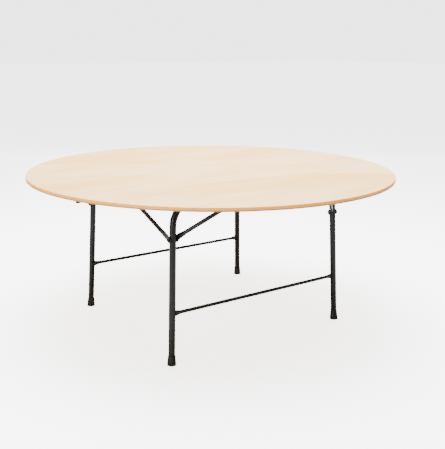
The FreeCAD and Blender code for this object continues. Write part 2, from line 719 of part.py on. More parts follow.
def make_stay(name, toward, depth, lower, run, spread):
    """A tube with flat ends. It is made along X with its flat ends in the XZ plane, its
    sideways run along Y, and its lower hole at the origin."""
    rise = TIP_RISE
    reach = f"sqrt(({run})^2 + {rise}^2)"
    shift = f"({-toward} * ({spread} - {PADDLE_OFFSET}))"
    straight = f"({reach} - 2 * Sizes.paddle_reach)"
    slant = math.degrees(math.atan2(size(shift), size(straight)))
    slope = f"atan({shift} / {straight})"
    across = Rotation(Vector(0, 0, 1), slant).multiply(ALONG_X)
    upright = Rotation(Vector(1, 0, 0), -90)
    half = "Sizes.paddle_thickness / 2"
    ends = []
    crimps = []
    for end, x, y in (("lower", "0", "0"), ("upper", reach, shift)):
        sign = 1 if end == "lower" else -1
        start = x if sign > 0 else f"({reach} - Sizes.paddle_reach)"
        flat = primitive(
            "Box",
            f"{end}_flat_{name}",
            base=(start, f"{y} - {half}", "-Sizes.paddle_width / 2"),
            Length="Sizes.paddle_reach",
            Width="Sizes.paddle_thickness",
            Height="Sizes.paddle_width",
        )
        tip = primitive(
            "Cylinder",
            f"{end}_tip_{name}",
            upright,
            (x, f"{y} - {half}", "0"),
            Radius="Sizes.paddle_width / 2",
            Height="Sizes.paddle_thickness",
        )
        ends += [flat, tip]
        kink = f"({x} + {sign} * Sizes.paddle_reach)"
        flat_section = primitive(
            "Ellipse",
            f"{end}_flat_section_{name}",
            ALONG_X,
            (kink, y, "0"),
            MajorRadius="Sizes.paddle_width / 2",
            MinorRadius=half,
        )
        round_section = primitive(
            "Circle",
            f"{end}_round_section_{name}",
            across,
            (
                f"{kink} + {sign} * Sizes.crimp_length * cos({slope})",
                f"{y} + {sign} * Sizes.crimp_length * sin({slope})",
                "0",
            ),
            Radius="Sizes.stay_tube / 2",
        )
        crimps.append(loft(f"{end}_crimp_{name}", [flat_section, round_section]))
    begin = (
        f"Sizes.paddle_reach + Sizes.crimp_length * cos({slope})",
        f"Sizes.crimp_length * sin({slope})",
        "0",
    )
    length = f"({straight} / cos({slope}) - 2 * Sizes.crimp_length)"
    tube = primitive(
        "Cylinder", f"tube_{name}", across, begin, Radius="Sizes.stay_tube / 2", Height=length
    )
    bore = primitive(
        "Cylinder",
        f"tube_bore_{name}",
        across,
        begin,
        Radius="(Sizes.stay_tube / 2 - Sizes.stay_wall)",
        Height=length,
    )
    hole = primitive(
        "Cylinder",
        f"lower_hole_{name}",
        upright,
        ("0", "-Sizes.paddle_thickness", "0"),
        Radius="(Sizes.bolt_size / 2 + Sizes.bolt_fit)",
        Height="2 * Sizes.paddle_thickness",
    )
    whole = fuse(f"stay_whole_{name}", [*ends, *crimps, tube])
    stay = cut(f"stay_{name}", whole, fuse(f"stay_bores_{name}", [bore, hole]))
    climb = math.degrees(math.atan2(size(rise), -depth * size(run)))
    turned = Rotation(Vector(1, 0, 0), climb).multiply(Rotation(Vector(0, 0, 1), 90))
    place(stay, (lower, f"{depth} * {JOINT_Y}", JOINT_Z), turned)
    keep(stay, f"stay_{name}")


# ---------------------------------------------------------------- assembly


def check_and_write():
    doc.recompute()
    for item in doc.Objects:
        if "Invalid" in item.State or "Error" in item.State:
            raise RuntimeError(f"{item.Name} failed: {item.State}")
    os.makedirs("parts", exist_ok=True)
    for item in parts:
        shape = item.Shape
        if shape.isNull() or not shape.isValid() or not shape.Solids:
            raise RuntimeError(f"{item.Label} has no valid solid")
        shape.exportStep(f"parts/{item.Label}.step")
        print(f"{item.Label}: {len(shape.Solids)} solid(s), {shape.Volume / 1000:.1f} cm3")


def main():
    make_tabletop()
    make_bumpers()
    for name, x, y in saddle_places():
        make_saddle(name, x, y)
    for name, toward, depth, lower, tip_x, tip_y, run, spread in stay_places():
        make_clip(name, tip_x, tip_y)
        make_stay(name, toward, depth, lower, run, spread)
    for kind in ("saddle", "clip", "bumper"):
        make_screws(kind)
    for frame, depth, shift in FRAMES:
        make_leg_frame(frame, depth, shift)
        make_crossbar(frame, depth, shift)
        make_joint_hardware(frame, depth, shift)
        for side, hand in SIDES:
            make_foot(f"{frame}_{side}", depth, hand, shift)
    check_and_write()


main()
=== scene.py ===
"""Round folding table: finishes, fine pieces and studio.

The table's plywood top, tube frames, feet and saddles come from the frame and get their
finishes here. Stays, crossbars, clips and fasteners are drawn again with their crimps,
welds, bends, threads and driver recesses. Lengths are metres, angles are radians.
"""

import json
import math

import bmesh
import bpy
from bpy.props import FloatProperty, FloatVectorProperty, IntProperty, PointerProperty
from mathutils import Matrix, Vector


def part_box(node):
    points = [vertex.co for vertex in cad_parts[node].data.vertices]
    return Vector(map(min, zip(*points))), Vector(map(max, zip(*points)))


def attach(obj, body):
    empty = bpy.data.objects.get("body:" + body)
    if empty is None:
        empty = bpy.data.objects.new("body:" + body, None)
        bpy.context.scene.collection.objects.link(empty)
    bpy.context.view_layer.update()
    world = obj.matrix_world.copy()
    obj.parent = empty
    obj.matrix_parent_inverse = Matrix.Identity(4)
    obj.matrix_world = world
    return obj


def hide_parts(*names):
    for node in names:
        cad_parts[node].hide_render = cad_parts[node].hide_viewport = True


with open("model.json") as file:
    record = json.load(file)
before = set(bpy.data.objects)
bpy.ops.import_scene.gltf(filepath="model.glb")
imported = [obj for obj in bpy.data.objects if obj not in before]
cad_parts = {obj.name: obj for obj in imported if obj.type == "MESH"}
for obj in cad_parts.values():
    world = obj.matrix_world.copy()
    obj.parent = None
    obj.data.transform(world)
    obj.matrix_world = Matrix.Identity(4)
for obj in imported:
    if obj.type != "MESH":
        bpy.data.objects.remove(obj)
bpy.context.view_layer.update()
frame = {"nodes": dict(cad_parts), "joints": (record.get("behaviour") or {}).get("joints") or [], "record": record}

bl_info = {
    "name": "Round folding table",
    "version": (1, 0, 0),
    "blender": (4, 5, 0),
    "location": "3D View > Sidebar > Folding table",
    "description": "Finishes, fine pieces and studio of a round plywood folding table",
    "category": "Object",
}

FRAMES = ("front", "rear")
SIDES = ("left", "right")
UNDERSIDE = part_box("tabletop")[0].z
TOP_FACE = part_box("tabletop")[1].z
ALONG = Vector((1, 0, 0))
ACROSS = Vector((0, 1, 0))
UP = Vector((0, 0, 1))
SHARP_ANGLE = math.radians(38)
STAY_KNEE = 0.005
CLIP_BEND = 0.002
CLIP_BROKEN_EDGE = 0.0004
SCREW_TO_SCREW_TURN = 1.9
VENEERS = 9
OVERHEAD_SOFTBOX = (Vector((0.2, 0.4, 3.7)), (4.2, 4.2))
SIDE_SOFTBOX = (Vector((-4.2, -1.9, 1.5)), (0.5, 2.6))
BACK_SOFTBOX = (Vector((3.4, 4.6, 1.7)), (6.0, 2.2))


# ---------------------------------------------------------------- sizes and colours


def length_value(name, default, description):
    return FloatProperty(
        name=name, default=default, min=0.0, unit="LENGTH", precision=5, description=description
    )


def colour_value(name, default, description):
    return FloatVectorProperty(
        name=name, default=default, size=3, min=0, max=1, subtype="COLOR", description=description
    )


class TableSteelSizes(bpy.types.PropertyGroup):
    paddle_width: length_value("Paddle width", 0.027, "Width of a stay's flat ends")
    paddle_thickness: length_value("Paddle thickness", 0.0035, "Thickness of a stay's flat ends")
    paddle_reach: length_value("Paddle reach", 0.018, "Hole centre to where the flat end stops")
    crimp_length: length_value("Crimp", 0.044, "Length over which a stay is flattened")
    stay_tube: length_value("Stay tube", 0.018, "Outer diameter of a stay")
    tip_depth: length_value("Tip depth", 0.017, "Underside down to a stay's upper end")
    crossbar_tube: length_value("Crossbar tube", 0.016, "Outer diameter of the crossbar")
    flare_height: length_value("Flare height", 0.027, "Height of the crossbar's flat ends")
    flare_thickness: length_value("Flare thickness", 0.006, "Thickness of those ends")
    flare_length: length_value("Flare length", 0.034, "Length over which they are flattened")
    leg_tube: length_value("Leg tube", 0.030, "Outer diameter of the leg tube")
    weld_size: length_value("Weld", 0.0022, "Radius of a weld bead")
    weld_ripples: IntProperty(
        name="Weld ripples", default=26, min=6, description="Ripples round a weld"
    )


class TableFastenerSizes(bpy.types.PropertyGroup):
    bolt: length_value("Bolt", 0.008, "Shank diameter of a stay bolt")
    bolt_head: length_value("Bolt head", 0.017, "Diameter of its domed head")
    bolt_head_height: length_value("Bolt head height", 0.0045, "Height of its domed head")
    thread_pitch: length_value("Thread pitch", 0.00125, "Distance between two threads")
    nut_flats: length_value("Nut", 0.013, "Across the flats of a nut")
    nut_height: length_value("Nut height", 0.0065, "Height of a nut")
    bolt_tail: length_value("Bolt tail", 0.002, "How far a bolt stands out of its nut")
    screw_head: length_value("Screw head", 0.009, "Diameter of a wood screw's head")
    screw_head_height: length_value("Screw head height", 0.0028, "Height of that head")
    recess_width: length_value("Recess width", 0.0011, "Width of the driver recess's arms")
    recess_length: length_value("Recess length", 0.0052, "Length of the driver recess's arms")
    recess_depth: length_value("Recess depth", 0.0018, "Depth of the driver recess")
    saddle_sheet: length_value("Saddle sheet", 0.003, "Sheet thickness of a saddle")
    saddle_pitch_along: length_value("Saddle pitch", 0.015, "Between its screws along the bar")
    saddle_pitch_across: length_value("Saddle span", 0.0625, "Between its screws across the bar")
    clip_pitch: length_value("Clip pitch", 0.046, "Between a clip's two screws")
    bumper_seat: length_value("Bumper seat", 0.008, "Underside down to a bumper's screw head")


class TableClipSizes(bpy.types.PropertyGroup):
    sheet: length_value("Sheet", 0.0015, "Sheet thickness of a spring clip")
    gap: length_value("Gap", 0.0042, "Between the cheeks of a clip")
    cheek_width: length_value("Cheek width", 0.016, "Width of a cheek at its root")
    cheek_depth: length_value("Cheek depth", 0.019, "Underside down to a cheek's lip")
    lip_length: length_value("Lip length", 0.004, "Length of the flared lip")
    lip_flare: length_value("Lip flare", 0.0022, "How far the lip opens outwards")
    plate_length: length_value("Plate length", 0.062, "Length of the base plate")
    plate_width: length_value("Plate width", 0.020, "Width of the base plate")


class TableColours(bpy.types.PropertyGroup):
    veneer_pale: colour_value("Pale veneer", (0.88, 0.62, 0.32), "Palest birch of the faces")
    veneer_warm: colour_value("Warm veneer", (0.84, 0.43, 0.05), "Warmest birch of the faces")
    veneer_fleck: colour_value("Fleck", (0.42, 0.24, 0.12), "Small brown flecks in the veneer")
    edge_upper: colour_value("Upper edge", (1.0, 0.36, 0.002), "Varnished upper plies")
    edge_middle: colour_value("Middle edge", (0.80, 0.36, 0.07), "Middle plies")
    # Painted shade: a dark brown for the lower plies of the edge, standing in for the shade that falls there.
    edge_lower_shade: colour_value("Lower edge", (0.34, 0.11, 0.008), "Lower plies")
    ply_shade: colour_value("End grain", (0.16, 0.06, 0.015), "End grain of every other ply")
    coat: colour_value("Powder coat", (0.0042, 0.0040, 0.0038), "Satin black coating")
    rubber: colour_value("Rubber", (0.0075, 0.0073, 0.0070), "Black moulded rubber")
    zinc: colour_value("Zinc", (0.60, 0.60, 0.57), "Bright zinc plate")
    black_zinc: colour_value("Black zinc", (0.008, 0.008, 0.0083), "Black zinc plate")


class TableStudio(bpy.types.PropertyGroup):
    camera_place: FloatVectorProperty(
        name="Camera place",
        default=(-2.2527, -3.1104, 1.3981),
        subtype="TRANSLATION",
        description="Where the camera stands",
    )
    yaw: FloatProperty(name="Yaw", default=-0.6422, subtype="ANGLE", description="Turn to the right")
    pitch: FloatProperty(name="Pitch", default=0.2359, subtype="ANGLE", description="Look down")
    roll: FloatProperty(name="Roll", default=0.0073, subtype="ANGLE", description="Roll")
    lens: FloatProperty(name="Lens", default=61.36, subtype="DISTANCE_CAMERA", description="Lens")
    floor: colour_value("Floor", (0.93, 0.93, 0.93), "Pale floor")
    floor_reach: length_value("Floor reach", 40.0, "Half the width of the floor")
    floor_glow: FloatProperty(name="Floor glow", default=3.6, min=0, description="Lift of the floor")
    sky: FloatProperty(name="Sky", default=0.4, min=0, description="Strength of the room's light")
    key: FloatProperty(name="Key", default=820.0, unit="POWER", description="Softbox overhead")
    side: FloatProperty(
        name="Side", default=150.0, unit="POWER", description="Tall softbox at the side"
    )
    back: FloatProperty(name="Back", default=70.0, unit="POWER", description="Wide softbox behind")


# ---------------------------------------------------------------- mesh helpers


def oval(centre, wide, thick, half_width, half_thickness, power=2.0, count=40):
    """A ring between an ellipse (power 2) and a soft-cornered rectangle (higher powers)."""
    ring = []
    for number in range(count):
        turn = 2 * math.pi * (number + 0.5) / count
        x = math.copysign(abs(math.cos(turn)) ** (2 / power), math.cos(turn)) * half_width
        y = math.copysign(abs(math.sin(turn)) ** (2 / power), math.sin(turn)) * half_thickness
        ring.append(centre + wide * x + thick * y)
    return ring


def skin(mesh, rings, loop=False):
    """Skins a tube through rings of points and closes its ends unless it is a loop."""
    rows = [[mesh.verts.new(point) for point in ring] for ring in rings]
    followers = rows[1:] + rows[:1] if loop else rows[1:]
    count = len(rows[0])
    for row, after in zip(rows, followers):
        for number in range(count):
            other = (number + 1) % count
            mesh.faces.new((row[number], row[other], after[other], after[number]))
    if not loop:
        mesh.faces.new(rows[0][::-1])
        mesh.faces.new(rows[-1])


def lathe(mesh, base, axis, profile, count=40):
    """Turns a profile of (radius, height) about an axis through base."""
    side = axis.orthogonal().normalized()
    skin(mesh, [oval(base + axis * h, side, axis.cross(side), r, r, count=count) for r, h in profile])


def smooth(amount):
    held = min(max(amount, 0.0), 1.0)
    return held * held * (3 - 2 * held)


def mix(first, last, amount):
    return first + (last - first) * amount


def new_piece(name, mesh, material, slot, body, *replaced):
    """Turns a bmesh into a smooth-shaded piece that rides on a body."""
    bmesh.ops.recalc_face_normals(mesh, faces=mesh.faces)
    data = bpy.data.meshes.new(name)
    mesh.to_mesh(data)
    mesh.free()
    data.shade_smooth()
    data.set_sharp_from_angle(angle=SHARP_ANGLE)
    data.materials.append(bpy.data.materials[material])
    piece = bpy.data.objects.new(name, data)
    bpy.context.scene.collection.objects.link(piece)
    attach(piece, body)
    if replaced:
        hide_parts(*replaced)
    return piece


def joint_place(name):
    return Vector(next(joint["pos_m"] for joint in frame["joints"] if joint["name"] == name))


def middle(node):
    low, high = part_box(node)
    return (low + high) / 2


# ---------------------------------------------------------------- node helpers


def node(tree, kind, inputs=None, **settings):
    """Adds a node. Each input takes a plain value or another node's output."""
    made = tree.nodes.new(kind)
    for name, value in settings.items():
        setattr(made, name, value)
    for name, value in (inputs or {}).items():
        if isinstance(value, bpy.types.NodeSocket):
            tree.links.new(value, made.inputs[name])
        else:
            made.inputs[name].default_value = value
    return made


def calc(tree, operation, first, second=0.0, clamp=False):
    inputs = {0: first, 1: second}
    return node(tree, "ShaderNodeMath", inputs, operation=operation, use_clamp=clamp).outputs[0]


def blend(tree, amount, first, second, blend_type="MIX"):
    """A colour mix. Plain colours are given as triples."""
    wide = [(*c, 1.0) if isinstance(c, tuple) else c for c in (first, second)]
    inputs = {0: amount, 6: wide[0], 7: wide[1]}
    made = node(tree, "ShaderNodeMix", inputs, data_type="RGBA", blend_type=blend_type)
    return made.outputs[2]


def remap(tree, value, low, high, to_low=0.0, to_high=1.0):
    inputs = {"Value": value, "From Min": low, "From Max": high, "To Min": to_low, "To Max": to_high}
    return node(tree, "ShaderNodeMapRange", inputs).outputs[0]


def stretched(tree, scale):
    """Coordinates of the object, stretched by scale."""
    place = node(tree, "ShaderNodeTexCoord").outputs["Object"]
    return node(tree, "ShaderNodeMapping", {"Vector": place, "Scale": scale}).outputs[0]


def noise(tree, scale, stretch=(1, 1, 1), detail=2.0, roughness=0.5, distortion=0.0):
    inputs = {
        "Vector": stretched(tree, stretch),
        "Scale": scale,
        "Detail": detail,
        "Roughness": roughness,
        "Distortion": distortion,
    }
    return node(tree, "ShaderNodeTexNoise", inputs).outputs[0]


def new_group(name, inputs, outputs):
    """An empty node group with named sockets."""
    tree = bpy.data.node_groups.new(name, "ShaderNodeTree")
    for label, kind, value in inputs:
        socket = tree.interface.new_socket(label, in_out="INPUT", socket_type=kind)
        socket.default_value = value
    for label, kind in outputs:
        tree.interface.new_socket(label, in_out="OUTPUT", socket_type=kind)
    return tree, tree.nodes.new("NodeGroupInput").outputs, tree.nodes.new("NodeGroupOutput").inputs


def use_group(tree, name, inputs):
    made = tree.nodes.new("ShaderNodeGroup")
    made.node_tree = bpy.data.node_groups[name]
    for label, value in inputs.items():
        if isinstance(value, bpy.types.NodeSocket):
            tree.links.new(value, made.inputs[label])
        else:
            made.inputs[label].default_value = value
    return made.outputs


def make_cloudy_group():
    """Soft uneven patches of a finish, as a colour and a roughness."""
    tree, given, out = new_group(
        "cloudy_finish",
        [
            ("Colour", "NodeSocketColor", (0.5, 0.5, 0.5, 1)),
            ("Patch Scale", "NodeSocketFloat", 12.0),
            ("Colour Change", "NodeSocketFloat", 0.2),
            ("Roughness", "NodeSocketFloat", 0.4),
            ("Roughness Change", "NodeSocketFloat", 0.1),
        ],
        [("Colour", "NodeSocketColor"), ("Roughness", "NodeSocketFloat")],
    )
    patches = node(tree, "ShaderNodeTexNoise", {"Vector": stretched(tree, (1, 1, 1)), "Detail": 4.0})
    tree.links.new(given["Patch Scale"], patches.inputs["Scale"])
    swing = remap(tree, patches.outputs[0], 0.3, 0.7, -1.0, 1.0)
    gain = calc(tree, "MULTIPLY_ADD", swing, given["Colour Change"])
    gain.node.inputs[2].default_value = 1.0
    bright = node(tree, "ShaderNodeVectorMath", {0: given["Colour"]}, operation="SCALE")
    tree.links.new(gain, bright.inputs["Scale"])
    tree.links.new(bright.outputs[0], out["Colour"])
    rough = calc(tree, "MULTIPLY_ADD", swing, given["Roughness Change"])
    tree.links.new(given["Roughness"], rough.node.inputs[2])
    tree.links.new(rough, out["Roughness"])


def make_grainy_group():
    """A fine raised grain, as a normal."""
    tree, given, out = new_group(
        "fine_grain",
        [
            ("Grain Scale", "NodeSocketFloat", 600.0),
            ("Strength", "NodeSocketFloat", 0.1),
            ("Depth", "NodeSocketFloat", 0.0002),
        ],
        [("Normal", "NodeSocketVector")],
    )
    grain = node(tree, "ShaderNodeTexNoise", {"Vector": stretched(tree, (1, 1, 1)), "Detail": 3.0})
    tree.links.new(given["Grain Scale"], grain.inputs["Scale"])
    inputs = {"Height": grain.outputs[0], "Strength": given["Strength"], "Distance": given["Depth"]}
    tree.links.new(node(tree, "ShaderNodeBump", inputs).outputs[0], out["Normal"])


def make_rubbed_group():
    """Convex edges rubbed to another colour, broken up by a noise."""
    tree, given, out = new_group(
        "rubbed_edges",
        [
            ("Colour", "NodeSocketColor", (0.5, 0.5, 0.5, 1)),
            ("Rubbed Colour", "NodeSocketColor", (0.5, 0.5, 0.5, 1)),
            ("Amount", "NodeSocketFloat", 0.5),
        ],
        [("Colour", "NodeSocketColor")],
    )
    edges = remap(tree, node(tree, "ShaderNodeNewGeometry").outputs["Pointiness"], 0.53, 0.62)
    broken = remap(tree, noise(tree, 160.0, detail=4.0), 0.42, 0.62)
    mask = calc(tree, "MULTIPLY", calc(tree, "MULTIPLY", edges, broken), given["Amount"], clamp=True)
    tree.links.new(blend(tree, mask, given["Colour"], given["Rubbed Colour"]), out["Colour"])


def new_material(name):
    """A material with its Principled shader and nothing else."""
    made = bpy.data.materials.new(name)
    made.use_nodes = True
    return made.node_tree, made.node_tree.nodes["Principled BSDF"]


def feed(tree, shader, **sockets):
    """Joins outputs to the shader's sockets, named with _ for a space."""
    for name, output in sockets.items():
        tree.links.new(output, shader.inputs[name.replace("_", " ")])


def make_coated(name, colour, rubbed, roughness, grain, patches=9.0, metallic=0.0, shine=0.5):
    """A coated, plated or moulded finish: uneven, finely grained, rubbed at its edges or not."""
    tree, shader = new_material(name)
    cloudy = use_group(
        tree,
        "cloudy_finish",
        {
            "Colour": (*colour, 1),
            "Patch Scale": patches,
            "Colour Change": 0.15,
            "Roughness": roughness,
            "Roughness Change": 0.05,
        },
    )
    colour_out = cloudy["Colour"]
    if rubbed:
        worn = {"Colour": colour_out, "Rubbed Colour": (*rubbed, 1), "Amount": 0.4}
        colour_out = use_group(tree, "rubbed_edges", worn)["Colour"]
    scale, strength, depth = grain
    raised = use_group(
        tree, "fine_grain", {"Grain Scale": scale, "Strength": strength, "Depth": depth}
    )
    feed(tree, shader, Base_Color=colour_out, Roughness=cloudy["Roughness"])
    feed(tree, shader, Normal=raised["Normal"])
    shader.inputs["Metallic"].default_value = metallic
    shader.inputs["Specular IOR Level"].default_value = shine


def make_plywood(colours):
    """Sealed birch plywood: veneer figure on the faces, stacked plies on the edge, with painted shade darkening
    the edge's lower plies.
    """
    tree, shader = new_material("birch_plywood")
    clouds = noise(tree, 2.1, (0.55, 1.5, 1), detail=4.0, roughness=0.6, distortion=0.7)
    streaks = noise(tree, 5.0, (0.35, 5.0, 1), detail=6.0, roughness=0.62, distortion=0.5)
    pores = noise(tree, 60.0, (0.3, 9.0, 1), detail=4.0, roughness=0.6)
    dashes = noise(tree, 26.0, (0.45, 4.0, 1), detail=2.0, roughness=0.5)
    warmth = calc(tree, "MULTIPLY_ADD", remap(tree, clouds, 0.34, 0.68), 0.75)
    tree.links.new(remap(tree, streaks, 0.3, 0.7, -0.18, 0.3), warmth.node.inputs[2])
    face = blend(tree, warmth, tuple(colours.veneer_pale), tuple(colours.veneer_warm))
    shade = remap(tree, pores, 0.3, 0.72, 1.04, 0.93)
    grey = node(tree, "ShaderNodeCombineColor", {0: shade, 1: shade, 2: shade}).outputs[0]
    face = blend(tree, 1.0, face, grey, "MULTIPLY")
    fleck = remap(tree, dashes, 0.70, 0.78, 0.0, 0.35)
    face = blend(tree, fleck, face, tuple(colours.veneer_fleck))

    height = node(tree, "ShaderNodeSeparateXYZ", {0: stretched(tree, (1, 1, 1))}).outputs["Z"]
    level = remap(tree, height, UNDERSIDE, TOP_FACE)
    # Painted shade: the edge darkens towards its lower plies; the middle and varnished upper plies keep the wood's
    # own colours.
    lower = blend(
        tree,
        remap(tree, level, 0.18, 0.42),
        tuple(colours.edge_lower_shade),
        tuple(colours.edge_middle),
    )
    tint = blend(tree, remap(tree, level, 0.48, 0.68), lower, tuple(colours.edge_upper))
    stack = calc(tree, "SINE", calc(tree, "MULTIPLY", level, VENEERS * math.pi))
    fibres = noise(tree, 150.0, (1, 1, 2.5), detail=3.0, roughness=0.7)
    end_grain = calc(tree, "MULTIPLY", remap(tree, stack, -0.15, -0.55), remap(tree, fibres, 0.3, 0.6))
    edge = blend(tree, calc(tree, "MULTIPLY", end_grain, 0.42), tint, tuple(colours.ply_shade))
    voids = remap(tree, noise(tree, 42.0, (1, 1, 6), detail=2.0), 0.70, 0.74, 0.0, 0.7)
    edge = blend(tree, voids, edge, tuple(colours.ply_shade))

    normal = node(tree, "ShaderNodeNewGeometry").outputs["Normal"]
    facing = node(tree, "ShaderNodeSeparateXYZ", {0: normal})
    flat = remap(tree, calc(tree, "ABSOLUTE", facing.outputs["Z"]), 0.72, 0.93)
    feed(tree, shader, Base_Color=blend(tree, flat, edge, face))
    feed(tree, shader, Roughness=calc(tree, "ADD", remap(tree, flat, 0, 1, 0.5, 0.46), fleck))
    bump = node(tree, "ShaderNodeBump", {"Height": shade, "Strength": 0.12, "Distance": 0.0004})
    feed(tree, shader, Normal=bump.outputs[0])


# ---------------------------------------------------------------- operators


class TABLE_OT_finishes(bpy.types.Operator):
    """Makes the finishes and puts them on the sub-parts that keep their own shape"""

    bl_idname = "table.finishes"
    bl_label = "Finishes"

    def execute(self, context):
        colours = context.scene.table_colours
        make_cloudy_group()
        make_grainy_group()
        make_rubbed_group()
        make_plywood(colours)
        coat = tuple(colours.coat)
        make_coated("satin_black_coat", coat, None, 0.22, (600.0, 0.02, 0.0001), shine=0.18)
        rubber = tuple(colours.rubber)
        make_coated("moulded_rubber", rubber, None, 0.62, (420.0, 0.08, 0.0002), shine=0.2)
        zinc = tuple(colours.zinc)
        make_coated("zinc_plate", zinc, (0.75, 0.75, 0.73), 0.34, (900.0, 0.08, 0.0002), 45.0, 1.0)
        dark = tuple(colours.black_zinc)
        make_coated("blackened_zinc", dark, (0.35, 0.34, 0.32), 0.38, (900.0, 0.1, 0.0002), 60.0, 0.4)
        finishes = {
            "plywood": "birch_plywood",
            "powder_coat": "satin_black_coat",
            "black_rubber": "moulded_rubber",
            "zinc": "zinc_plate",
            "black_zinc": "blackened_zinc",
        }
        for entry in frame["record"]["subparts"]:
            piece = frame["nodes"][entry["node"]]
            for slot in piece.material_slots:
                slot.material = bpy.data.materials[finishes[entry["material_slot"]]]
        return {"FINISHED"}


def stay_rings(sizes, lower, upper):
    """Rings of a stay: a rounded paddle, a crimp, the slanted tube, and the same again."""
    rise = Vector((0, upper.y - lower.y, upper.z - lower.z))
    reach = rise.length
    forward = rise.normalized()
    wide = forward.cross(ALONG)
    sideways = upper.x - lower.x
    slant = math.atan2(sideways, reach - 2 * sizes.paddle_reach)
    radius = sizes.paddle_width / 2
    slanted = (reach - 2 * sizes.paddle_reach) / math.cos(slant)
    knee = STAY_KNEE
    steps = [-radius * math.cos(math.radians(turn)) for turn in range(4, 90, 8)]
    steps += [0.0, sizes.paddle_reach * 0.5]
    steps += [sizes.paddle_reach + knee * part / 4 for part in range(-4, 5)]
    steps += [sizes.paddle_reach + sizes.crimp_length * part / 14 for part in range(2, 15)]
    rings = []
    stations = []
    for step in steps:
        past = step - sizes.paddle_reach
        turned = smooth((past + knee) / (2 * knee)) * slant
        if past <= -knee:
            along, off = step, 0.0
        elif past < knee:
            bow = (past + knee) ** 2 / (4 * knee)
            along, off = step - bow * (1 - math.cos(slant)), bow * math.sin(slant)
        else:
            along, off = sizes.paddle_reach + past * math.cos(slant), past * math.sin(slant)
        half_width = math.sqrt(max(radius**2 - step**2, 0)) if step < 0 else radius
        round_off = smooth(past / sizes.crimp_length)
        half_width = mix(half_width, sizes.stay_tube / 2, round_off)
        half_thickness = mix(sizes.paddle_thickness, sizes.stay_tube, round_off) / 2
        stations.append((along, off, turned, half_width, half_thickness, mix(5.0, 2.0, round_off)))
    total = slanted / 2 + sizes.paddle_reach
    if total < steps[-1]:
        raise RuntimeError("a stay is too short for its two crimps")
    for end, sign in ((lower, 1), (upper, -1)):
        half = []
        for along, off, turned, half_width, half_thickness, power in stations:
            centre = end + (forward * along + ALONG * off) * sign
            thick = ALONG * math.cos(turned) - forward * math.sin(turned)
            half.append(oval(centre, wide, thick, half_width, half_thickness, power))
        rings += half if sign > 0 else half[::-1]
    return rings


class TABLE_OT_stays(bpy.types.Operator):
    """Draws the eight stays with crimped ends"""

    bl_idname = "table.stays"
    bl_label = "Stays"

    def execute(self, context):
        sizes = context.scene.table_steel
        for end in FRAMES:
            for side in SIDES:
                for kind in ("inner", "outer"):
                    name = f"{kind}_{end}_{side}"
                    lower = joint_place(f"swing_{name}")
                    upper = middle(f"clip_{name}")
                    upper.z = UNDERSIDE - sizes.tip_depth
                    mesh = bmesh.new()
                    skin(mesh, stay_rings(sizes, lower, upper))
                    body = f"{kind}_stay_{end}_{side}"
                    piece = f"crimped_stay_{name}"
                    new_piece(piece, mesh, "satin_black_coat", "powder_coat", body, f"stay_{name}")
        return {"FINISHED"}


class TABLE_OT_crossbars(bpy.types.Operator):
    """Draws the crossbars with flattened ends and their welds to the legs"""

    bl_idname = "table.crossbars"
    bl_label = "Crossbars and welds"

    def execute(self, context):
        sizes = context.scene.table_steel
        for end in FRAMES:
            low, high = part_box(f"crossbar_{end}")
            centre = (low + high) / 2
            reach = (high.x - low.x) / 2
            inward = reach - sizes.flare_length
            halves = []
            for part in range(13):
                flare = smooth(part / 12)
                along = inward + sizes.flare_length * part / 12
                tall = mix(sizes.crossbar_tube, sizes.flare_height, flare) / 2
                deep = mix(sizes.crossbar_tube, sizes.flare_thickness, flare) / 2
                halves.append((along, tall, deep, mix(2.0, 2.6, flare)))
            stations = [(-along, *rest) for along, *rest in halves[::-1]] + halves
            rings = [oval(centre + ALONG * a, UP, ACROSS, t, d, p) for a, t, d, p in stations]
            mesh = bmesh.new()
            skin(mesh, rings)
            body = f"{end}_frame"
            bar = f"flared_crossbar_{end}"
            new_piece(bar, mesh, "satin_black_coat", "powder_coat", body, f"crossbar_{end}")
            mesh = bmesh.new()
            for hand in (-1, 1):
                self.weld(mesh, sizes, centre + ALONG * hand * reach, hand)
            new_piece(f"welds_{end}", mesh, "satin_black_coat", "powder_coat", body)
        return {"FINISHED"}

    def weld(self, mesh, sizes, root, hand):
        """A rippled bead round one flattened end, on the leg's surface."""
        rings = []
        count = sizes.weld_ripples * 6
        tall = sizes.flare_height / 2 + sizes.weld_size * 0.2
        deep = sizes.flare_thickness / 2 + sizes.weld_size * 0.3
        for number in range(count):
            turn = 2 * math.pi * number / count
            y = deep * math.cos(turn)
            z = tall * math.sin(turn)
            curve = sizes.leg_tube / 2 - math.sqrt((sizes.leg_tube / 2) ** 2 - y**2)
            centre = root + Vector((hand * (curve - sizes.weld_size * 0.35), y, z))
            outward = Vector((0, tall * math.cos(turn), deep * math.sin(turn))).normalized()
            size = sizes.weld_size * (0.86 + 0.14 * math.sin(turn * sizes.weld_ripples))
            rings.append(oval(centre, outward, ALONG, size, size, count=10))
        skin(mesh, rings, loop=True)


